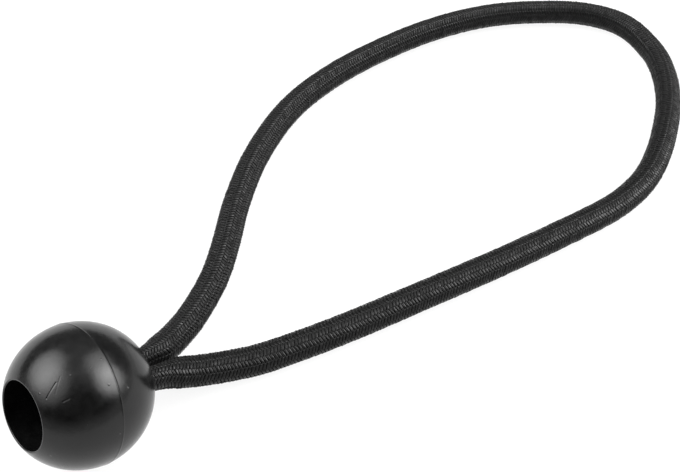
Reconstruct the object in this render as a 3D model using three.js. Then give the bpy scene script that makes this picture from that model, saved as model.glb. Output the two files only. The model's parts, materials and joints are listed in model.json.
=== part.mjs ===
// A ball bungee: a loop of elastic cord whose two ends are crimped together inside a moulded ball.
// Millimetres, +Z up. The loop lies on a table, and the origin is the table's point under the ball's middle.
// The ball is drawn along its own bore, mouth at -X and cord at +X, and then tilted so that the mouth looks up.
import * as THREE from 'three';

// Ball
const BALL_DIAMETER = 25;
const BALL_TILT_DEGREES = 22;
const MOUTH_DIAMETER = 12;
const MOUTH_LIP_WIDTH = 0.3;
const BACK_WALL = 5.5;
const BACK_HOLE_ROUNDING = 1.2;
const PARTING_RIDGE_HEIGHT = 0.1;
const PARTING_RIDGE_WIDTH = 0.6;

// Cord
const CORD_DIAMETER = 5.7;
const SHEATH_WALL = 0.5;
const STRANDS_ROUND_MIDDLE = 6;
const NECK_REACH = 18.6;
const END_LENGTH = 25;
const LEG_LENGTH = 102;

// Crimp clip on the two cord ends
const CLIP_LENGTH = 8;
const STRIP_THICKNESS = 0.8;
const CLIP_PLAY = 1;
const TAIL_LENGTH = 2.2;
const TAIL_SWELL = 1.6;

// Gap that pieces keep where they touch
const FIT_GAP = 0.3;

// Facets
const BALL_SIDES = 44;
const BALL_ARC_STEPS = 11;
const ROUNDING_STEPS = 4;
const SHEATH_SIDES = 12;
const STRAND_SIDES = 6;
const CLIP_ARC_STEPS = 6;
const NECK_STEPS = 7;
const LEG_STEPS = 14;
const BEND_STEPS = 22;

// The cord's middle line outside the ball, from its back round the loop on the table to its back again
const CORD_ROUTE = [
  [11.6, 2.05, 7.8], [16.0, 2.85, 6.05], [18.2, 3.4, 5.2], [21.0, 4.4, 4.3], [26.0, 6.4, 3.4], [31.5, 9.2, 2.96],
  [37.0, 12.5, 2.87], [42.5, 16.8, 2.86], [53.5, 26.4, 2.85], [66.0, 35.0, 2.85], [81.0, 41.7, 2.85],
  [96.5, 44.4, 2.85], [112.0, 44.3, 2.85], [127.5, 42.4, 2.85], [143.0, 37.8, 2.85], [155.5, 30.6, 2.85],
  [166.0, 21.2, 2.85], [170.0, 11.5, 2.85], [167.0, 0.2, 2.85], [161.5, -7.5, 2.85], [153.7, -14.3, 2.85],
  [145.0, -19.6, 2.85], [136.5, -23.7, 2.85], [128.0, -26.5, 2.85], [120.0, -27.4, 2.85], [112.5, -27.0, 2.85],
  [99.5, -24.8, 2.85], [86.5, -22.3, 2.85], [74.5, -19.7, 2.85], [63.0, -17.1, 2.85], [52.0, -14.6, 2.85],
  [42.0, -12.0, 2.86], [31.5, -8.8, 2.96], [26.0, -6.5, 3.4], [21.0, -4.4, 4.3], [18.2, -3.25, 5.2],
  [16.0, -2.6, 6.05], [11.6, -2.05, 7.8],
];

// Finishes
const BLACK_PLASTIC = { color: 0x1d1d1e, roughness: 0.34, metalness: 0 };
const BLACK_BRAID = { color: 0x18181a, roughness: 0.8, metalness: 0 };
const LATEX = { color: 0xcdb98f, roughness: 0.6, metalness: 0 };
const PLATED_STEEL = { color: 0xb5b7b9, roughness: 0.35, metalness: 1 };

// Sizes that follow from those above
const ballRadius = BALL_DIAMETER / 2;
const mouthRadius = MOUTH_DIAMETER / 2;
const lipRadius = mouthRadius + MOUTH_LIP_WIDTH;
const lipAlong = -Math.sqrt(ballRadius ** 2 - lipRadius ** 2);
const holeRadius = mouthRadius - STRIP_THICKNESS - CLIP_PLAY;
const holeEdgeRadius = holeRadius + BACK_HOLE_ROUNDING;
const holeEnd = Math.sqrt((ballRadius - BACK_HOLE_ROUNDING) ** 2 - holeEdgeRadius ** 2);
const ledgeAlong = holeEnd - BACK_WALL + BACK_HOLE_ROUNDING;
const cordRadius = CORD_DIAMETER / 2;
const sheathBore = cordRadius - SHEATH_WALL;
const strandsRoom = sheathBore * Math.cos(Math.PI / SHEATH_SIDES) - FIT_GAP;
const strandPitch = 2 * Math.sin(Math.PI / STRANDS_ROUND_MIDDLE);
const strandRadius = (strandsRoom - FIT_GAP / strandPitch) / (1 + 2 / strandPitch);
const strandRing = strandsRoom - strandRadius;
const middleStrandRadius = strandRing - strandRadius - FIT_GAP;
const clipBack = ledgeAlong - FIT_GAP;
const clipFront = clipBack - CLIP_LENGTH;
const tailTip = clipFront - TAIL_LENGTH;

function mesh(name, geometry, finish) {
  const piece = new THREE.Mesh(geometry, new THREE.MeshStandardMaterial(finish));
  piece.name = name;
  return piece;
}

// Points of an arc, given as distance from the bore's axis and place along it
function arc(middleOut, middleAlong, radius, from, to, steps) {
  const points = [];
  for (let i = 0; i <= steps; i += 1) {
    const angle = from + (to - from) * i / steps;
    const out = middleOut + radius * Math.cos(angle);
    const along = middleAlong + radius * Math.sin(angle);
    points.push(new THREE.Vector2(out, along));
  }
  return points;
}

// The ball in half section, turned round its bore: lip, outside with the parting ridge, rounded back hole,
// the ledge that stops the clip, and the bore back to the lip
function ballGeometry() {
  const lipAngle = Math.asin(lipAlong / ballRadius);
  const ridgeAngle = Math.asin(PARTING_RIDGE_WIDTH / 2 / ballRadius);
  const backAngle = Math.atan2(holeEnd, holeEdgeRadius);
  const profile = [
    new THREE.Vector2(mouthRadius, lipAlong),
    ...arc(0, 0, ballRadius, lipAngle, -ridgeAngle, BALL_ARC_STEPS),
    new THREE.Vector2(ballRadius + PARTING_RIDGE_HEIGHT, 0),
    ...arc(0, 0, ballRadius, ridgeAngle, backAngle, BALL_ARC_STEPS),
    ...arc(holeEdgeRadius, holeEnd, BACK_HOLE_ROUNDING, backAngle, Math.PI, ROUNDING_STEPS).slice(1),
    new THREE.Vector2(holeRadius, ledgeAlong),
    new THREE.Vector2(mouthRadius, ledgeAlong),
    new THREE.Vector2(mouthRadius, lipAlong),
  ];
  return new THREE.LatheGeometry(profile, BALL_SIDES);
}

// A steel strip bent round two cords that lie side by side. Both ends of the strip curl over the cords and dip
// into the valley between them.
function clipGeometry() {
  const inner = holeRadius / 2;
  const outer = inner + STRIP_THICKNESS;
  const spread = holeRadius / 2;
  const dip = Math.PI - Math.acos((spread - FIT_GAP / 2) / outer);
  const down = -Math.PI / 2;
  const section = new THREE.Shape();
  section.absarc(spread, 0, outer, dip, down, true);
  section.absarc(-spread, 0, outer, down, -Math.PI - dip, true);
  section.absarc(-spread, 0, inner, -Math.PI - dip, down, false);
  section.absarc(spread, 0, inner, down, dip, false);
  return new THREE.ExtrudeGeometry(section, {
    depth: CLIP_LENGTH,
    bevelEnabled: false,
    curveSegments: CLIP_ARC_STEPS,
  });
}

function polygon(radius, sides, across = 0, up = 0) {
  const points = [];
  for (let i = 0; i < sides; i += 1) {
    const angle = 2 * Math.PI * i / sides;
    points.push(new THREE.Vector2(across + radius * Math.cos(angle), up + radius * Math.sin(angle)));
  }
  return points;
}

function sheathSection() {
  const section = new THREE.Shape(polygon(cordRadius, SHEATH_SIDES));
  section.holes.push(new THREE.Path(polygon(sheathBore, SHEATH_SIDES)));
  return section;
}

// One strand in the middle and a ring of them round it
function strandSections() {
  const middle = new THREE.Shape(polygon(middleStrandRadius, STRAND_SIDES));
  const places = polygon(strandRing, STRANDS_ROUND_MIDDLE);
  const ring = places.map((at) => new THREE.Shape(polygon(strandRadius, STRAND_SIDES, at.x, at.y)));
  return [middle, ...ring];
}

// How the cord is squeezed at its ends: its distance from the bore's axis, and half its width and height. It
// swells behind the clip, is thin inside it, oval in the back hole and round again past the neck.
const tailHalf = (mouthRadius - 2.5 * FIT_GAP) / 2;
const holeHalf = (holeRadius - 1.5 * FIT_GAP) / 2;
const holeOffset = holeHalf + FIT_GAP / 2;
const holeTall = Math.sqrt(holeHalf * (holeOffset + holeHalf));
const clipHalf = holeRadius / 2 - FIT_GAP;
const tailForm = { offset: tailHalf + FIT_GAP / 2, across: tailHalf, tall: tailHalf };
const clipForm = { offset: holeRadius / 2, across: clipHalf, tall: clipHalf };
const holeForm = { offset: holeOffset, across: holeHalf, tall: holeTall };
const freeForm = { across: cordRadius, tall: cordRadius };
const insideBall = [
  { along: tailTip, form: tailForm },
  { along: clipFront - TAIL_SWELL, form: tailForm },
  { along: clipFront, form: clipForm },
  { along: clipBack, form: clipForm },
  { along: ledgeAlong + BACK_HOLE_ROUNDING, form: holeForm },
  { along: holeEnd, form: holeForm },
];
const squeezes = [...insideBall, { along: ballRadius, form: holeForm }, { along: NECK_REACH, form: freeForm }];

function squeezeAt(along) {
  const next = squeezes.findIndex((station) => along < station.along);
  if (next === 0) return tailForm;
  if (next < 0) return freeForm;
  const before = squeezes[next - 1];
  const after = squeezes[next];
  const share = (along - before.along) / (after.along - before.along);
  const eased = after.form === freeForm ? share ** 2 : THREE.MathUtils.smoothstep(share, 0, 1);
  const between = (size) => THREE.MathUtils.lerp(before.form[size], after.form[size], eased);
  return { across: between('across'), tall: between('tall') };
}

// Ball with the clip inside it
const ballGroup = new THREE.Group();
ballGroup.position.z = ballRadius;
ballGroup.rotation.y = THREE.MathUtils.degToRad(BALL_TILT_DEGREES);
ballGroup.updateMatrix();

const ball = mesh('ball', ballGeometry(), BLACK_PLASTIC);
ball.rotation.z = -Math.PI / 2;
ballGroup.add(ball);

const clip = mesh('crimp_clip', clipGeometry(), PLATED_STEEL);
clip.rotation.set(Math.PI / 2, Math.PI / 2, 0);
clip.position.x = clipFront;
ballGroup.add(clip);

// The cord's whole middle line, from one tail tip in the ball round the loop to the other
const besideBore = (side) => insideBall.map(({ along, form }) => {
  return new THREE.Vector3(along, side * form.offset, 0).applyMatrix4(ballGroup.matrix);
});
const outsideBall = CORD_ROUTE.map((point) => new THREE.Vector3(...point));
const route = new THREE.CatmullRomCurve3([...besideBore(1), ...outsideBall, ...besideBore(-1).reverse()]);
route.arcLengthDivisions = 2000;
const routeLength = route.getLength();
const ballFrame = ballGroup.matrix.clone().invert();

// The cord's section at a length along it: its middle, and its side and rise shortened by the squeeze
function sectionAt(length) {
  const middle = route.getPointAt(length / routeLength);
  const tangent = route.getTangentAt(length / routeLength);
  const side = new THREE.Vector3(0, 0, 1).cross(tangent).normalize();
  const rise = tangent.clone().cross(side);
  const { across, tall } = squeezeAt(middle.clone().applyMatrix4(ballFrame).x);
  side.multiplyScalar(across / cordRadius);
  rise.multiplyScalar(tall / cordRadius);
  return { middle, side, rise };
}

// A section drawn out to a straight bar, one unit for each step, and then laid along a stretch of the cord
function swept(section, sections) {
  const steps = sections.length - 1;
  const bar = new THREE.ExtrudeGeometry(section, { depth: steps, steps, bevelEnabled: false });
  const places = bar.attributes.position;
  const place = new THREE.Vector3();
  for (let i = 0; i < places.count; i += 1) {
    const { middle, side, rise } = sections[Math.round(places.getZ(i))];
    place.copy(middle).addScaledVector(side, places.getX(i)).addScaledVector(rise, places.getY(i));
    places.setXYZ(i, place.x, place.y, place.z);
  }
  bar.computeVertexNormals();
  return bar;
}

// The sheath of one stretch of cord and the strands inside it, with sections at the given lengths along the cord
function cordPieces(place, lengths) {
  const sections = lengths.map(sectionAt);
  const pieces = [mesh(`sheath_${place}`, swept(sheathSection(), sections), BLACK_BRAID)];
  strandSections().forEach((section, i) => {
    pieces.push(mesh(`strand_${i + 1}_${place}`, swept(section, sections), LATEX));
  });
  return pieces;
}

function evenSteps(from, to, steps) {
  return Array.from({ length: steps + 1 }, (_, i) => from + (to - from) * i / steps);
}

function fromOtherEnd(lengths) {
  return lengths.map((length) => routeLength - length).reverse();
}

// Both ends, both legs and the far bend between them, with a gap where they meet
const legStart = END_LENGTH + FIT_GAP;
const legEnd = legStart + LEG_LENGTH;
const bendStart = legEnd + FIT_GAP;
const endLengths = [
  ...insideBall.map(({ along }) => along - tailTip),
  ...evenSteps(ballRadius - tailTip, END_LENGTH, NECK_STEPS),
];
const legLengths = evenSteps(legStart, legEnd, LEG_STEPS);

const part = new THREE.Group();
part.add(ballGroup);
part.add(...cordPieces('end_a', endLengths));
part.add(...cordPieces('leg_a', legLengths));
part.add(...cordPieces('bend', evenSteps(bendStart, routeLength - bendStart, BEND_STEPS)));
part.add(...cordPieces('leg_b', fromOtherEnd(legLengths)));
part.add(...cordPieces('end_b', fromOtherEnd(endLengths)));

export default part;
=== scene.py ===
"""A ball bungee in the studio: a loop of braided elastic cord with its ends crimped inside a moulded ball.

Metres, +Z up. The loop lies on a table, and the origin is the table's point under the ball's middle.
"""
import json
import math

import bmesh
import bpy
from mathutils import Matrix, Vector
from mathutils import noise as waves
from mathutils.geometry import interpolate_bezier


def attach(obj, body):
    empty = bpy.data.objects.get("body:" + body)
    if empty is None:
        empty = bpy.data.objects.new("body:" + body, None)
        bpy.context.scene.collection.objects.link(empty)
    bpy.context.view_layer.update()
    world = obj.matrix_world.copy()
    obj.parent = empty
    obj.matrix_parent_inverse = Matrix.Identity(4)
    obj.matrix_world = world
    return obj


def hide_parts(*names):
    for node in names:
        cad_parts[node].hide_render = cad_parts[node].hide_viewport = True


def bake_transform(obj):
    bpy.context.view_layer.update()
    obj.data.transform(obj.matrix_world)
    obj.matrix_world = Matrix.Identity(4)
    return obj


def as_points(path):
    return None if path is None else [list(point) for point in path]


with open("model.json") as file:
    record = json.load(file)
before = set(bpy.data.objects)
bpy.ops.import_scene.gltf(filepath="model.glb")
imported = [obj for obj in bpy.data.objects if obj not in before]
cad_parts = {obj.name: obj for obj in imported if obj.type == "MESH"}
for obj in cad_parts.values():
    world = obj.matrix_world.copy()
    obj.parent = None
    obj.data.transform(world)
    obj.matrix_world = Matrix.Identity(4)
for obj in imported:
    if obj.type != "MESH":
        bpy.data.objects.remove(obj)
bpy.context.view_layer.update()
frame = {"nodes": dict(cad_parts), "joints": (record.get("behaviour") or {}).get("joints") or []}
joints = {joint["name"]: joint for joint in frame["joints"]}

MM = 0.001

# Photograph's view
PICTURE_WIDTH = 680
FOCAL_PIXELS = 960
SENSOR_WIDTH_MM = 36
NEAR_LIMIT = 10 * MM
EYE = Vector((-28.45, -89.43, 155.37)) * MM
EYE_RIGHT = Vector((0.7480, -0.6623, 0.0431))
EYE_UP = Vector((0.4815, 0.5863, 0.6515))

# Studio light: each panel's turn, height, core angle and reach in degrees, and its glow
SOFT_PANELS = (
    (124, 47, 8, 31, 6.0),
    (162, 54, 6, 32, 3.2),
    (-6, 50, 4, 25, 4.2),
    (-35, 37, 4, 27, 10.2),
    (42, 72, 10, 50, 0.52),
)

# Surroundings: core angle, reach and glow of the dark room behind the eye and of the low band in front
WALL_GLOW = 0.2
DARK_GLOW = 0.015
EYE_SIDE = Vector((-0.40, -0.89, 0.2)).normalized()
DARK_ROOM = (50, 70, 0.4)
FRONT_SPREAD = (60, 100, 1)
LOW_FRONT = (98, 110, 0.6)
FLOOR_SHADE = 0.1
FLOOR_ROUGHNESS = 0.9
FLOOR_GLOW = 0.9
FLOOR_REACH = 40

# Ball
BALL_RADIUS = 12.5 * MM
MOUTH_RADIUS = 6.0 * MM
LIP_WIDTH = 0.3 * MM
LIP_INNER_ROUNDING = 0.18 * MM
LIP_OUTER_ROUNDING = 0.06 * MM
BACK_WALL = 5.5 * MM
HOLE_ROUNDING = 1.2 * MM
PARTING_SWELL = 0.08 * MM
PARTING_SPREAD = 1.4 * MM
PARTING_BEAD = 0.03 * MM
PARTING_BEAD_HALF_WIDTH = 0.14 * MM
BALL_SIDES = 144
BALL_ARC_STEPS = 44
BALL_ARC_CROWDING = 1.6
ROUNDING_STEPS = 8
BALL_CREASE = math.radians(25)

# Marks on the ball: where each scratch starts and ends, and how deep it is as a share of the depth
MARK_DEPTH = 0.1 * MM
SCRATCH_HALF_WIDTH = 0.2 * MM
SCRATCHES = (
    (Vector((-6.36, -3.57, 22.65)) * MM, Vector((-4.0, -2.9, 24.0)) * MM, 0.5),
    (Vector((-5.0, -4.1, 23.2)) * MM, Vector((-3.0, -2.6, 24.4)) * MM, 0.12),
    (Vector((-4.71, -5.71, 22.57)) * MM, Vector((-3.76, -5.99, 22.81)) * MM, 0.25),
)

# Cord
CORD_RADIUS = 2.85 * MM
SHEATH_WALL = 0.5 * MM
NECK_REACH = 18.6 * MM
SEALED_END = 0.9 * MM
LINE_STEP = 0.2 * MM
CURVE_STEPS = 60

# Braid: ribs in columns that lean one way and then the other, and start half a rib apart. The cord's radius
# reaches to the skin's share of their relief.
BRAID_COLUMNS = 14
BRAID_TURN = math.radians(55)
BRAID_TWIST = math.radians(10)
RIB_PITCH = 0.7 * MM
RIB_LEAN = 0.65
YARN_RELIEF = 0.36 * MM
SKIN_SHARE = 0.66

# How uneven the ribs are, and the steps through the noise that makes them so
YARN_UNEVENNESS = 0.25
UNEVEN_RIB_STEP = 1.7
UNEVEN_COLUMN_STEP = 2.3
UNEVEN_LEVEL = 0.5

# A rib in profile, as shares of its pitch and of the relief, and the row of it that is the crest
RIB_PROFILE = ((0, 0), (0.12, 0.73), (0.5, 1), (0.88, 0.73))
RIB_CREST = 2

# A column in profile, as shares of its width and of a rib's height, and the gloss of the two kinds of column
COLUMN_PROFILE = ((0, 0.92), (0.1, 1), (0.9, 1))
COLUMN_GLOSS = (0.66, 1)

# Latex core
CORE_SETBACK = 1.2 * MM
STRAND_SIDES = 8
STRAND_STEP = 2.2 * MM
STRAND_ROUNDS = 2
FIRST_ROUND = 6
STRAND_GAP = 0.03 * MM

# Crimp strip on the two cord ends
CLIP_LENGTH = 8 * MM
STRIP_THICKNESS = 0.8 * MM
CLIP_PLAY = 1 * MM
STRIP_EDGE = 0.18 * MM
STRIP_EDGE_STEPS = 3
STRIP_CORNER = math.radians(60)
STRIP_CREASE = math.radians(40)
CLIP_ARC_STEPS = 28
TAIL_LENGTH = 2.2 * MM
TAIL_SWELL = 1.6 * MM
FIT_GAP = 0.3 * MM

# Finishes: shades and roughness at both ends of a pattern, and the spread in which its noise mostly lies
NOISE_SPREAD = (0.3, 0.7)
BALL_SHADES = ((0.002, 0.002, 0.002), (0.03, 0.03, 0.03))
BALL_ROUGHNESS = (0.17, 0.26)
BALL_REFLECTION = 0.355
CLOUD_TONE = 0.12
CLOUD_HEIGHT = 0.25
GRAIN_ROUGHNESS = 0.03
GRAIN_HEIGHT = 0.1
SPECK_EDGE = (0.03, 0.07)
SPECK_HEIGHT = 0.25
# The yarn's dark colour is painted shade in the grooves where the yarns dive under, and its light colour is
# the yarn on its crests
YARN_GROOVE_TO_CREST = ((0.0003, 0.0003, 0.0003), (0.012, 0.012, 0.012))
GROOVE_SHADE_SPAN = (0.15, 0.5)
YARN_ROUGHNESS = (0.75, 0.17)
YARN_REFLECTION = 0.25
YARN_SPREAD = (0.35, 0.65)
FILAMENTS_IN_RIB = 5
FILAMENT_BREAKS_IN_COLUMN = 0.9
FILAMENT_LIGHT = (0.35, 1)
FILAMENT_DEPTH = 0.07 * MM
WEAR_LIGHT = (0.4, 1)
LATEX_SHADES = ((0.46, 0.36, 0.20), (0.62, 0.52, 0.34))
LATEX_ROUGHNESS = (0.5, 0.7)
STEEL_SHADES = ((0.30, 0.30, 0.31), (0.50, 0.50, 0.51))
STEEL_ROUGHNESS = (0.32, 0.5)
STEEL_BRUSHING = (300, 3000, 3000)

# The cord's middle line outside the ball, from its back round the loop on the table to its back again
CORD_ROUTE = [Vector(point) * MM for point in (
    (11.6, 2.05, 7.8), (16.0, 2.85, 6.05), (18.2, 3.4, 5.2), (21.0, 4.4, 4.3), (26.0, 6.4, 3.4),
    (31.5, 9.2, 2.96), (37.0, 12.5, 2.87), (42.5, 16.8, 2.86), (53.5, 26.4, 2.85), (66.0, 35.0, 2.85),
    (81.0, 41.7, 2.85), (96.5, 44.4, 2.85), (112.0, 44.3, 2.85), (127.5, 42.4, 2.85), (143.0, 37.8, 2.85),
    (155.5, 30.6, 2.85), (166.0, 21.2, 2.85), (170.0, 11.5, 2.85), (167.0, 0.2, 2.85), (161.5, -7.5, 2.85),
    (153.7, -14.3, 2.85), (145.0, -19.6, 2.85), (136.5, -23.7, 2.85), (128.0, -26.5, 2.85),
    (120.0, -27.4, 2.85), (112.5, -27.0, 2.85), (99.5, -24.8, 2.85), (86.5, -22.3, 2.85),
    (74.5, -19.7, 2.85), (63.0, -17.1, 2.85), (52.0, -14.6, 2.85), (42.0, -12.0, 2.86), (31.5, -8.8, 2.96),
    (26.0, -6.5, 3.4), (21.0, -4.4, 4.3), (18.2, -3.25, 5.2), (16.0, -2.6, 6.05), (11.6, -2.05, 7.8),
)]

# Sizes and places that follow from those above and from the frame
WELD = 0.001 * MM
UP = Vector((0, 0, 1))
ball_centre = Vector(joints["ball_spin"]["pos_m"])
bore_axis = Vector(joints["ball_spin"]["axis"]).normalized()
seat = Matrix.Translation(ball_centre) @ bore_axis.to_track_quat("X", "Z").to_matrix().to_4x4()
lip_radius = MOUTH_RADIUS + LIP_WIDTH
lip_along = -math.sqrt(BALL_RADIUS ** 2 - lip_radius ** 2)
hole_radius = MOUTH_RADIUS - STRIP_THICKNESS - CLIP_PLAY
hole_edge_radius = hole_radius + HOLE_ROUNDING
hole_end = math.sqrt((BALL_RADIUS - HOLE_ROUNDING) ** 2 - hole_edge_radius ** 2)
ledge_along = hole_end - BACK_WALL + HOLE_ROUNDING
clip_back = ledge_along - FIT_GAP
clip_front = clip_back - CLIP_LENGTH
tail_tip = clip_front - TAIL_LENGTH


# Helpers

def new_piece(name, bm, material):
    """An object at the origin from a finished mesh, with its faces turned outwards and shaded smooth."""
    bmesh.ops.recalc_face_normals(bm, faces=bm.faces)
    mesh = bpy.data.meshes.new(name)
    for face in bm.faces:
        face.smooth = True
    bm.to_mesh(mesh)
    bm.free()
    mesh.materials.append(material)
    piece = bpy.data.objects.new(name, mesh)
    bpy.context.scene.collection.objects.link(piece)
    return piece


def sharpen(bm, angle):
    """Edges that turn by more than the angle shade as edges."""
    for edge in bm.edges:
        edge.smooth = edge.calc_face_angle(0) < angle


def between(start, end, share):
    return start + (end - start) * share


def eased(value, start, end):
    """0 before start, 1 after end and a smooth rise between them."""
    share = min(max((value - start) / (end - start), 0), 1)
    return share * share * (3 - 2 * share)


def arc(along, out, radius, start, end, steps):
    """Points of an arc in the ball's half section. Its angles start from the bore's direction."""
    turns = [between(start, end, i / steps) for i in range(steps + 1)]
    return [(along + radius * math.cos(turn), out + radius * math.sin(turn)) for turn in turns]


# Materials

def node_material(name):
    """A new material with its node tree and its shader."""
    material = bpy.data.materials.new(name)
    material.use_nodes = True
    return material, material.node_tree, material.node_tree.nodes["Principled BSDF"]


def add_node(tree, kind, values=None, **settings):
    """A new node with its settings and the values of its inputs."""
    node = tree.nodes.new(kind)
    for key, value in settings.items():
        setattr(node, key, value)
    for key, value in (values or {}).items():
        node.inputs[key].default_value = value
    return node


def join(tree, source, target):
    tree.links.new(source, target)


def scaled_coordinates(tree, output, scale):
    """A texture coordinate stretched by a scale."""
    place = add_node(tree, "ShaderNodeTexCoord")
    mapping = add_node(tree, "ShaderNodeMapping", {"Scale": scale})
    join(tree, place.outputs[output], mapping.inputs["Vector"])
    return mapping.outputs["Vector"]


def noise(tree, vector, **values):
    named = {key.capitalize(): value for key, value in values.items()}
    texture = add_node(tree, "ShaderNodeTexNoise", named)
    join(tree, vector, texture.inputs["Vector"])
    return texture.outputs["Fac"]


def ranged(tree, value, low, high, to_low, to_high):
    """A value's range mapped to another and held there."""
    node = add_node(tree, "ShaderNodeMapRange", {1: low, 2: high, 3: to_low, 4: to_high})
    join(tree, value, node.inputs[0])
    return node.outputs[0]


def maths(tree, operation, first, second):
    """A sum on two values, each a number or another node's output."""
    node = add_node(tree, "ShaderNodeMath", operation=operation)
    for socket, value in zip(node.inputs, (first, second)):
        if isinstance(value, (int, float)):
            socket.default_value = value
        else:
            join(tree, value, socket)
    return node.outputs[0]


def shades(tree, value, dark, light):
    """A colour that goes from dark to light with a value."""
    node = add_node(tree, "ShaderNodeMix", data_type="RGBA")
    colours = [socket for socket in node.inputs if socket.type == "RGBA"]
    colours[0].default_value = (*dark, 1)
    colours[1].default_value = (*light, 1)
    join(tree, value, node.inputs[0])
    return [socket for socket in node.outputs if socket.type == "RGBA"][0]


def bumped(tree, shader, height, distance):
    """Fine relief on a surface, as deep as the distance where the height is 1."""
    node = add_node(tree, "ShaderNodeBump", {"Strength": 1, "Distance": distance})
    join(tree, height, node.inputs["Height"])
    join(tree, node.outputs["Normal"], shader.inputs["Normal"])


def vector_maths(tree, operation, first, second):
    """A sum on two vectors, each given or another node's output."""
    node = add_node(tree, "ShaderNodeVectorMath", operation=operation)
    for socket, value in zip(node.inputs, (first, second)):
        if isinstance(value, Vector):
            socket.default_value = value
        else:
            join(tree, value, socket)
    return node


def scratch(tree, place, start, end):
    """1 on the line of a scratch and 0 beside it."""
    run = end - start
    offset = vector_maths(tree, "SUBTRACT", place, start).outputs["Vector"]
    share = vector_maths(tree, "DOT_PRODUCT", offset, run / run.length_squared).outputs["Value"]
    reach = add_node(tree, "ShaderNodeVectorMath", {"Vector": run}, operation="SCALE")
    join(tree, ranged(tree, share, 0, 1, 0, 1), reach.inputs["Scale"])
    away = vector_maths(tree, "DISTANCE", offset, reach.outputs["Vector"]).outputs["Value"]
    return ranged(tree, away, 0, SCRATCH_HALF_WIDTH, 1, 0)


def ball_plastic():
    """Black moulded plastic with a satin gloss, cloudy from handling, with scratches and specks of dust."""
    material, tree, shader = node_material("ball_plastic")
    place = scaled_coordinates(tree, "Object", (1, 1, 1))
    clouds = noise(tree, place, scale=320, detail=4, roughness=0.65)
    grain = noise(tree, place, scale=1500, detail=3, roughness=0.6)
    specks = add_node(tree, "ShaderNodeTexVoronoi", {"Scale": 330})
    join(tree, place, specks.inputs["Vector"])
    dust = ranged(tree, specks.outputs["Distance"], *SPECK_EDGE, 1, 0)
    tone = maths(tree, "ADD", ranged(tree, clouds, *NOISE_SPREAD, 0, CLOUD_TONE), dust)
    join(tree, shades(tree, tone, *BALL_SHADES), shader.inputs["Base Color"])
    cloudy = ranged(tree, clouds, *NOISE_SPREAD, *BALL_ROUGHNESS)
    grainy = ranged(tree, grain, *NOISE_SPREAD, -GRAIN_ROUGHNESS, GRAIN_ROUGHNESS)
    join(tree, maths(tree, "ADD", cloudy, grainy), shader.inputs["Roughness"])
    shader.inputs["Specular IOR Level"].default_value = BALL_REFLECTION
    height = maths(tree, "MULTIPLY", grain, GRAIN_HEIGHT)
    height = maths(tree, "ADD", height, maths(tree, "MULTIPLY", dust, SPECK_HEIGHT))
    height = maths(tree, "ADD", height, maths(tree, "MULTIPLY", clouds, CLOUD_HEIGHT))
    for start, end, depth in SCRATCHES:
        cut = maths(tree, "MULTIPLY", scratch(tree, place, start, end), depth)
        height = maths(tree, "SUBTRACT", height, cut)
    bumped(tree, shader, height, MARK_DEPTH)
    return material


def black_braid(ribs):
    """Black yarn: fine filaments along each rib, glossy on its crest, with painted shade where the yarns
    dive under.
    """
    material, tree, shader = node_material("black_braid")
    filament_scale = (FILAMENT_BREAKS_IN_COLUMN * BRAID_COLUMNS, FILAMENTS_IN_RIB * ribs, 1)
    along_yarn = scaled_coordinates(tree, "UV", filament_scale)
    filaments = noise(tree, along_yarn, scale=1, detail=2, roughness=0.5)
    place = scaled_coordinates(tree, "Object", (1, 1, 1))
    wear = noise(tree, place, scale=700, detail=3, roughness=0.6)
    # Painted shade: the attribute is each rib's height, darkest in the grooves, times its column's gloss,
    # and darkens the colour there
    groove_shade_and_texture = add_node(tree, "ShaderNodeAttribute", attribute_name="groove_shade_and_gloss").outputs["Fac"]
    groove_shade_and_texture = maths(tree, "MULTIPLY", groove_shade_and_texture, ranged(tree, filaments, *YARN_SPREAD, *FILAMENT_LIGHT))
    groove_shade_and_texture = maths(tree, "MULTIPLY", groove_shade_and_texture, ranged(tree, wear, *YARN_SPREAD, *WEAR_LIGHT))
    join(tree, shades(tree, groove_shade_and_texture, *YARN_GROOVE_TO_CREST), shader.inputs["Base Color"])
    join(tree, ranged(tree, groove_shade_and_texture, *GROOVE_SHADE_SPAN, *YARN_ROUGHNESS), shader.inputs["Roughness"])
    shader.inputs["Specular IOR Level"].default_value = YARN_REFLECTION
    bumped(tree, shader, filaments, FILAMENT_DEPTH)
    return material


def pale_latex():
    """Natural rubber strands, matt and slightly uneven in colour."""
    material, tree, shader = node_material("pale_latex")
    place = scaled_coordinates(tree, "Object", (1, 1, 1))
    patches = noise(tree, place, scale=400, detail=3, roughness=0.5)
    join(tree, shades(tree, patches, *LATEX_SHADES), shader.inputs["Base Color"])
    join(tree, ranged(tree, patches, *NOISE_SPREAD, *LATEX_ROUGHNESS), shader.inputs["Roughness"])
    return material


def plated_steel():
    """Bent steel strip with a dull plating, brushed along its length."""
    material, tree, shader = node_material("plated_steel")
    along_strip = scaled_coordinates(tree, "Object", STEEL_BRUSHING)
    brushed = noise(tree, along_strip, scale=1, detail=3, roughness=0.6)
    shader.inputs["Metallic"].default_value = 1
    join(tree, shades(tree, brushed, *STEEL_SHADES), shader.inputs["Base Color"])
    join(tree, ranged(tree, brushed, *NOISE_SPREAD, *STEEL_ROUGHNESS), shader.inputs["Roughness"])
    return material


# Cord

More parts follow.
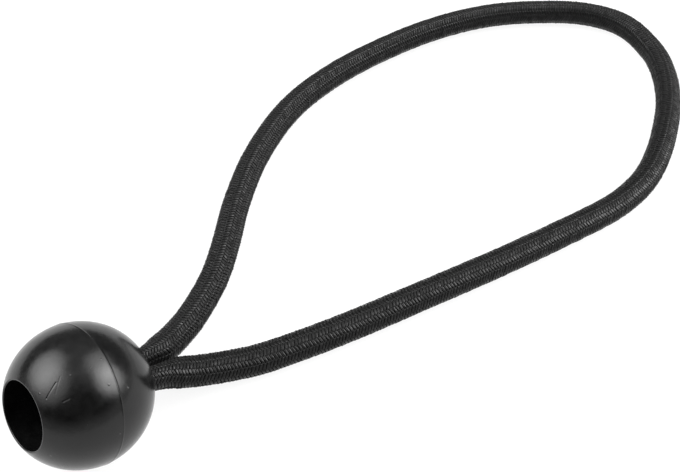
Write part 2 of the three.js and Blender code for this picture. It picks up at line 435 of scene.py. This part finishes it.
def inside_ball():
    """Stations of a cord end in the ball: place along the bore, distance from it, half width, half height.

    The cord swells behind the clip, is thin inside it and oval in the back hole.
    """
    half_gap = FIT_GAP / 2
    tail_half = (MOUTH_RADIUS - 2 * FIT_GAP - half_gap) / 2
    clip_half = hole_radius / 2 - FIT_GAP
    hole_half = (hole_radius - FIT_GAP - half_gap) / 2
    hole_offset = hole_half + half_gap
    hole_tall = math.sqrt(hole_half * (hole_offset + hole_half))
    tail = (tail_half + half_gap, tail_half, tail_half)
    clip = (hole_radius / 2, clip_half, clip_half)
    hole = (hole_offset, hole_half, hole_tall)
    return [
        (tail_tip, *tail), (clip_front - TAIL_SWELL, *tail), (clip_front, *clip), (clip_back, *clip),
        (ledge_along + HOLE_ROUNDING, *hole), (hole_end, *hole),
    ]


def squeezed(along, stations):
    """Half width and half height of the cord at a place along the bore. It is round again past the neck."""
    for (start, _, wide, tall), (end, _, next_wide, next_tall) in zip(stations, stations[1:]):
        if along < end:
            share = eased(along, start, end)
            return between(wide, next_wide, share), between(tall, next_tall, share)
    share = min(max(along - BALL_RADIUS, 0) / (NECK_REACH - BALL_RADIUS), 1) ** 2
    return between(stations[-1][2], CORD_RADIUS, share), between(stations[-1][3], CORD_RADIUS, share)


def smooth_line(points, step):
    """Points about a step apart along a smooth line through the given ones."""
    ends = [points[0], *points, points[-1]]
    dense = []
    for before, start, end, after in zip(ends, points, points[1:], ends[3:]):
        reach = (end - start).length / 3
        leave = start + (end - before).normalized() * reach
        arrive = end - (after - start).normalized() * reach
        dense += interpolate_bezier(start, leave, arrive, end, CURVE_STEPS)[:-1]
    dense.append(points[-1])
    walked = [0]
    for start, end in zip(dense, dense[1:]):
        walked.append(walked[-1] + (end - start).length)
    count = math.ceil(walked[-1] / step)
    line = []
    at = 0
    for i in range(count + 1):
        goal = walked[-1] * i / count
        while at < len(walked) - 2 and walked[at + 1] < goal:
            at += 1
        line.append(dense[at].lerp(dense[at + 1], (goal - walked[at]) / (walked[at + 1] - walked[at])))
    return line, walked[-1]


class Cord:
    """The cord's middle line from one tail tip round the loop to the other, and its section all along it."""

    def __init__(self):
        stations = inside_ball()
        first = [seat @ Vector((along, offset, 0)) for along, offset, _, _ in stations]
        last = [seat @ Vector((along, -offset, 0)) for along, offset, _, _ in reversed(stations)]
        self.line, self.length = smooth_line([*first, *CORD_ROUTE, *last], LINE_STEP)
        self.sections = []
        for i, point in enumerate(self.line):
            along = (point - ball_centre).dot(bore_axis)
            ahead = self.line[min(i + 1, len(self.line) - 1)] - self.line[max(i - 1, 0)]
            if along < (clip_front + clip_back) / 2:
                ahead = bore_axis if i < len(self.line) / 2 else -bore_axis
            side = UP.cross(ahead).normalized()
            rise = ahead.normalized().cross(side)
            wide, tall = squeezed(along, stations)
            self.sections.append((side * wide, rise * tall))

    def point(self, walked, turn, share):
        """A point of the section at a length walked along the line, a share of the way out to the skin."""
        place = min(max(walked / self.length, 0), 1) * (len(self.line) - 1)
        low = min(int(place), len(self.line) - 2)
        rest = place - low
        middle = self.line[low].lerp(self.line[low + 1], rest)
        side = self.sections[low][0].lerp(self.sections[low + 1][0], rest)
        rise = self.sections[low][1].lerp(self.sections[low + 1][1], rest)
        return middle + (side * math.cos(turn) + rise * math.sin(turn)) * share


def rolled_grid(bm, round_steps, along_steps, place):
    """A flat grid rolled into a tube and closed along its seam. place gives the point for two shares."""
    half = 0.5
    verts = bmesh.ops.create_grid(
        bm, x_segments=round_steps, y_segments=along_steps, size=half, calc_uvs=True,
    )["verts"]
    for vert in verts:
        vert.co = place(vert, vert.co.x + half, vert.co.y + half)
    bmesh.ops.remove_doubles(bm, verts=verts, dist=WELD)


def sealed(walked, length):
    """How far out the skin is near a cut end, where the yarn is melted to a round tip."""
    near = min(walked, length - walked, SEALED_END)
    return math.sqrt(max(1 - (1 - near / SEALED_END) ** 3, 0))


def braided_sheath(cord):
    """The braid: columns of ribs that lean one way and then the other, and a melted tip at each end."""
    ribs = round(cord.length / RIB_PITCH)
    rows = len(RIB_PROFILE)
    steps = len(COLUMN_PROFILE)
    bm = bmesh.new()
    bm.loops.layers.uv.new("UVMap")
    groove_shade_layer = bm.verts.layers.float.new("groove_shade_and_gloss")
    rounded = bm.verts.layers.int.new("rounded")

    def place(vert, share_round, share_along):
        column, step = divmod(round(share_round * BRAID_COLUMNS * steps), steps)
        across, column_height = COLUMN_PROFILE[step]
        other = column % 2
        zigzag = RIB_LEAN * (across - 0.5 if other else 0.5 - across)
        half_step = 0.5 * other
        plain = share_along * ribs
        number, row = divmod(round((plain + half_step) * rows), rows)
        along, rib_height = RIB_PROFILE[row]
        braided = eased(min(plain, ribs - plain) * RIB_PITCH, SEALED_END, 2 * SEALED_END)
        rib = between(plain, number + along - half_step + zigzag, braided)
        walked = rib * cord.length / ribs
        seed = (UNEVEN_RIB_STEP * number, UNEVEN_COLUMN_STEP * (column % BRAID_COLUMNS), UNEVEN_LEVEL)
        height = rib_height * column_height * (1 + YARN_UNEVENNESS * waves.noise(Vector(seed)))
        height = between(SKIN_SHARE, height, braided)
        # Painted shade: the rib's height, lowest in the grooves, times the gloss of its kind of column
        vert[groove_shade_layer] = height * between(1, COLUMN_GLOSS[other], braided)
        vert[rounded] = braided < 1 or row == RIB_CREST
        turn = 2 * math.pi * (column + across) / BRAID_COLUMNS + BRAID_TURN + BRAID_TWIST * share_along
        skin = 1 + YARN_RELIEF / CORD_RADIUS * (height - SKIN_SHARE)
        spot = cord.point(walked, turn, skin * sealed(walked, cord.length))
        spot.z = max(spot.z, 0)
        return spot

    rolled_grid(bm, BRAID_COLUMNS * steps, ribs * rows, place)
    for edge in bm.edges:
        edge.smooth = any(vert[rounded] for vert in edge.verts)
    sheath = new_piece("braided_sheath", bm, black_braid(ribs))
    return sheath


def latex_core(cord):
    """The rubber strands inside the braid: one in the middle and rounds of them about it."""
    bm = bmesh.new()
    bm.loops.layers.uv.new("UVMap")
    bore = 1 - SHEATH_WALL / CORD_RADIUS
    pitch = bore * 2 / (2 * STRAND_ROUNDS + 1)
    thick = pitch / 2 - STRAND_GAP / CORD_RADIUS
    places = [(0, 0)]
    for ring in range(1, STRAND_ROUNDS + 1):
        count = FIRST_ROUND * ring
        places += [(pitch * ring, 2 * math.pi * i / count) for i in range(count)]
    steps = round(cord.length / STRAND_STEP)
    for out, turn in places:
        middle = Vector((math.cos(turn), math.sin(turn))) * out

        def place(vert, share_round, share_along):
            angle = -2 * math.pi * share_round
            at = middle + Vector((math.cos(angle), math.sin(angle))) * thick
            walked = between(CORE_SETBACK, cord.length - CORE_SETBACK, share_along)
            return cord.point(walked, math.atan2(at.y, at.x), at.length)

        rolled_grid(bm, STRAND_SIDES, steps, place)
    bmesh.ops.holes_fill(bm, edges=bm.edges, sides=STRAND_SIDES)
    core = new_piece("latex_core", bm, pale_latex())
    return core


# Ball

def parting_swell(along):
    """How far the skin stands out near the parting line: both halves rise to it, with a fine bead on it."""
    bead = max(1 - (along / PARTING_BEAD_HALF_WIDTH) ** 2, 0)
    return PARTING_SWELL * math.exp(-abs(along) / PARTING_SPREAD) + PARTING_BEAD * bead


def ball_section():
    """The ball in half section: lip, outside with the parting line, rounded back hole, ledge and bore."""
    right = math.pi / 2
    lip_turn = math.atan2(lip_radius, lip_along)
    back_turn = math.atan2(hole_edge_radius, hole_end)
    corner = (lip_along + LIP_INNER_ROUNDING, MOUTH_RADIUS + LIP_INNER_ROUNDING)
    section = arc(*corner, LIP_INNER_ROUNDING, -right, -2 * right, ROUNDING_STEPS)
    section.append((lip_along, lip_radius - LIP_OUTER_ROUNDING))
    crowd = [(i / BALL_ARC_STEPS) ** BALL_ARC_CROWDING for i in range(BALL_ARC_STEPS + 1)]
    turns = [between(right, lip_turn, share) for share in reversed(crowd)]
    turns += [between(right, back_turn, share) for share in crowd[1:]]
    for turn in turns:
        skin = BALL_RADIUS + parting_swell(BALL_RADIUS * math.cos(turn))
        section.append((skin * math.cos(turn), skin * math.sin(turn)))
    section += arc(hole_end, hole_edge_radius, HOLE_ROUNDING, back_turn, -right, ROUNDING_STEPS * 2)[1:]
    section += [(ledge_along, hole_radius), (ledge_along, MOUTH_RADIUS)]
    return section


def ball_moulding():
    bm = bmesh.new()
    verts = [bm.verts.new((along, 0, out)) for along, out in ball_section()]
    edges = [bm.edges.new(pair) for pair in zip(verts, [*verts[1:], verts[0]])]
    bmesh.ops.spin(
        bm, geom=verts + edges, cent=(0, 0, 0), axis=(1, 0, 0), dvec=(0, 0, 0), angle=2 * math.pi,
        steps=BALL_SIDES, use_merge=True, use_normal_flip=False, use_duplicate=False,
    )
    bmesh.ops.remove_doubles(bm, verts=bm.verts, dist=WELD)
    bmesh.ops.transform(bm, matrix=seat, verts=bm.verts)
    sharpen(bm, BALL_CREASE)
    ball = new_piece("ball_moulding", bm, ball_plastic())
    return ball


# Crimp strip

def crimp_strip():
    """A steel strip bent round both cord ends. Its own ends curl over into the valley between the cords."""
    inner = hole_radius / 2
    outer = inner + STRIP_THICKNESS
    spread = hole_radius / 2
    dip = math.pi - math.acos((spread - FIT_GAP / 2) / outer)
    sweep = dip + math.pi / 2
    bm = bmesh.new()
    corners = [(clip_front, inner), (clip_front, outer), (clip_back, outer), (clip_back, inner)]
    places = [(along, spread + out * math.cos(dip), out * math.sin(dip)) for along, out in corners]
    verts = [bm.verts.new(place) for place in places]
    rim = [bm.edges.new(pair) for pair in zip(verts, [*verts[1:], verts[0]])]

    def curl(edges, centre):
        ends = bmesh.ops.spin(
            bm, geom=edges, cent=(0, centre, 0), axis=(1, 0, 0), dvec=(0, 0, 0), angle=-sweep,
            steps=CLIP_ARC_STEPS, use_merge=False, use_normal_flip=False, use_duplicate=False,
        )["geom_last"]
        return [item for item in ends if isinstance(item, bmesh.types.BMEdge)]

    rim = curl(rim, spread)
    grown = bmesh.ops.extrude_edge_only(bm, edges=rim)["geom"]
    floor_verts = [item for item in grown if isinstance(item, bmesh.types.BMVert)]
    bmesh.ops.translate(bm, vec=(0, -2 * spread, 0), verts=floor_verts)
    ends = set(floor_verts)
    rim = [item for item in grown if isinstance(item, bmesh.types.BMEdge) and set(item.verts) <= ends]
    curl(rim, -spread)
    bmesh.ops.remove_doubles(bm, verts=bm.verts, dist=WELD)
    bmesh.ops.holes_fill(bm, edges=bm.edges, sides=4)
    long_edges = [edge for edge in bm.edges if edge.calc_face_angle(0) > STRIP_CORNER]
    bmesh.ops.bevel(
        bm, geom=long_edges, offset=STRIP_EDGE, segments=STRIP_EDGE_STEPS, profile=0.5,
        affect="EDGES", material=-1,
    )
    bmesh.ops.transform(bm, matrix=seat, verts=bm.verts)
    sharpen(bm, STRIP_CREASE)
    strip = new_piece("crimp_strip", bm, plated_steel())
    return strip


# Studio

def photograph_camera():
    lens = bpy.data.cameras.new("camera")
    lens.sensor_width = SENSOR_WIDTH_MM
    lens.lens = FOCAL_PIXELS / PICTURE_WIDTH * SENSOR_WIDTH_MM
    lens.clip_start = NEAR_LIMIT
    camera = bpy.data.objects.new("camera", lens)
    back = EYE_RIGHT.cross(EYE_UP)
    facing = Matrix((EYE_RIGHT, EYE_UP, back)).transposed().to_4x4()
    camera.matrix_world = Matrix.Translation(EYE) @ facing
    bpy.context.scene.collection.objects.link(camera)
    bpy.context.scene.camera = camera


def pale_floor():
    material, tree, shader = node_material("pale_floor")
    shader.inputs["Base Color"].default_value = (FLOOR_SHADE, FLOOR_SHADE, FLOOR_SHADE, 1)
    shader.inputs["Roughness"].default_value = FLOOR_ROUGHNESS
    shader.inputs["Emission Color"].default_value = (1, 1, 1, 1)
    shader.inputs["Emission Strength"].default_value = FLOOR_GLOW
    bm = bmesh.new()
    bmesh.ops.create_grid(bm, x_segments=1, y_segments=1, size=FLOOR_REACH)
    floor = new_piece("floor", bm, material)


def compass(turn, height):
    """A direction from its turn about the vertical and its height over the horizon, in degrees."""
    turn = math.radians(turn)
    height = math.radians(height)
    level = math.cos(height)
    return Vector((level * math.cos(turn), level * math.sin(turn), math.sin(height)))


def soft_panel(tree, direction, toward, core, reach, glow):
    """The light of a round panel: full within its core angle, fading to none at its reach."""
    facing = add_node(tree, "ShaderNodeVectorMath", {1: toward}, operation="DOT_PRODUCT")
    join(tree, direction, facing.inputs[0])
    edge = math.cos(math.radians(reach))
    return ranged(tree, facing.outputs["Value"], edge, math.cos(math.radians(core)), 0, glow)


def studio_light():
    """Pale surroundings with soft panels, a dark room behind the eye and a low pale band in front."""
    world = bpy.data.worlds.new("studio")
    world.use_nodes = True
    tree = world.node_tree
    direction = add_node(tree, "ShaderNodeTexCoord").outputs["Generated"]
    dark = soft_panel(tree, direction, EYE_SIDE, *DARK_ROOM)
    light = maths(tree, "SUBTRACT", WALL_GLOW, dark)
    light = maths(tree, "MAXIMUM", light, DARK_GLOW)
    front = soft_panel(tree, direction, EYE_SIDE, *FRONT_SPREAD)
    low = soft_panel(tree, direction, -UP, *LOW_FRONT)
    light = maths(tree, "ADD", light, maths(tree, "MULTIPLY", front, low))
    for turn, height, *spread_and_glow in SOFT_PANELS:
        panel = soft_panel(tree, direction, compass(turn, height), *spread_and_glow)
        light = maths(tree, "ADD", light, panel)
    join(tree, light, tree.nodes["Background"].inputs["Strength"])
    tree.nodes["Background"].inputs["Color"].default_value = (1, 1, 1, 1)
    bpy.context.scene.world = world
    bpy.context.scene.view_settings.view_transform = "Standard"


# The scene

photograph_camera()
pale_floor()
studio_light()

cord = Cord()
sheath = braided_sheath(cord)
core = latex_core(cord)
ball = ball_moulding()
strip = crimp_strip()

places = ("end_a", "leg_a", "bend", "leg_b", "end_b")
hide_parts(*[f"sheath_{place}" for place in places])
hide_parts(*[node for node in frame["nodes"] if node.startswith("strand_")])
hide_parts("ball")
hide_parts("crimp_clip")

for piece in (sheath, core):
    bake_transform(piece)
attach(ball, "ball_body")
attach(strip, "crimped_cord")
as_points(cord.line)
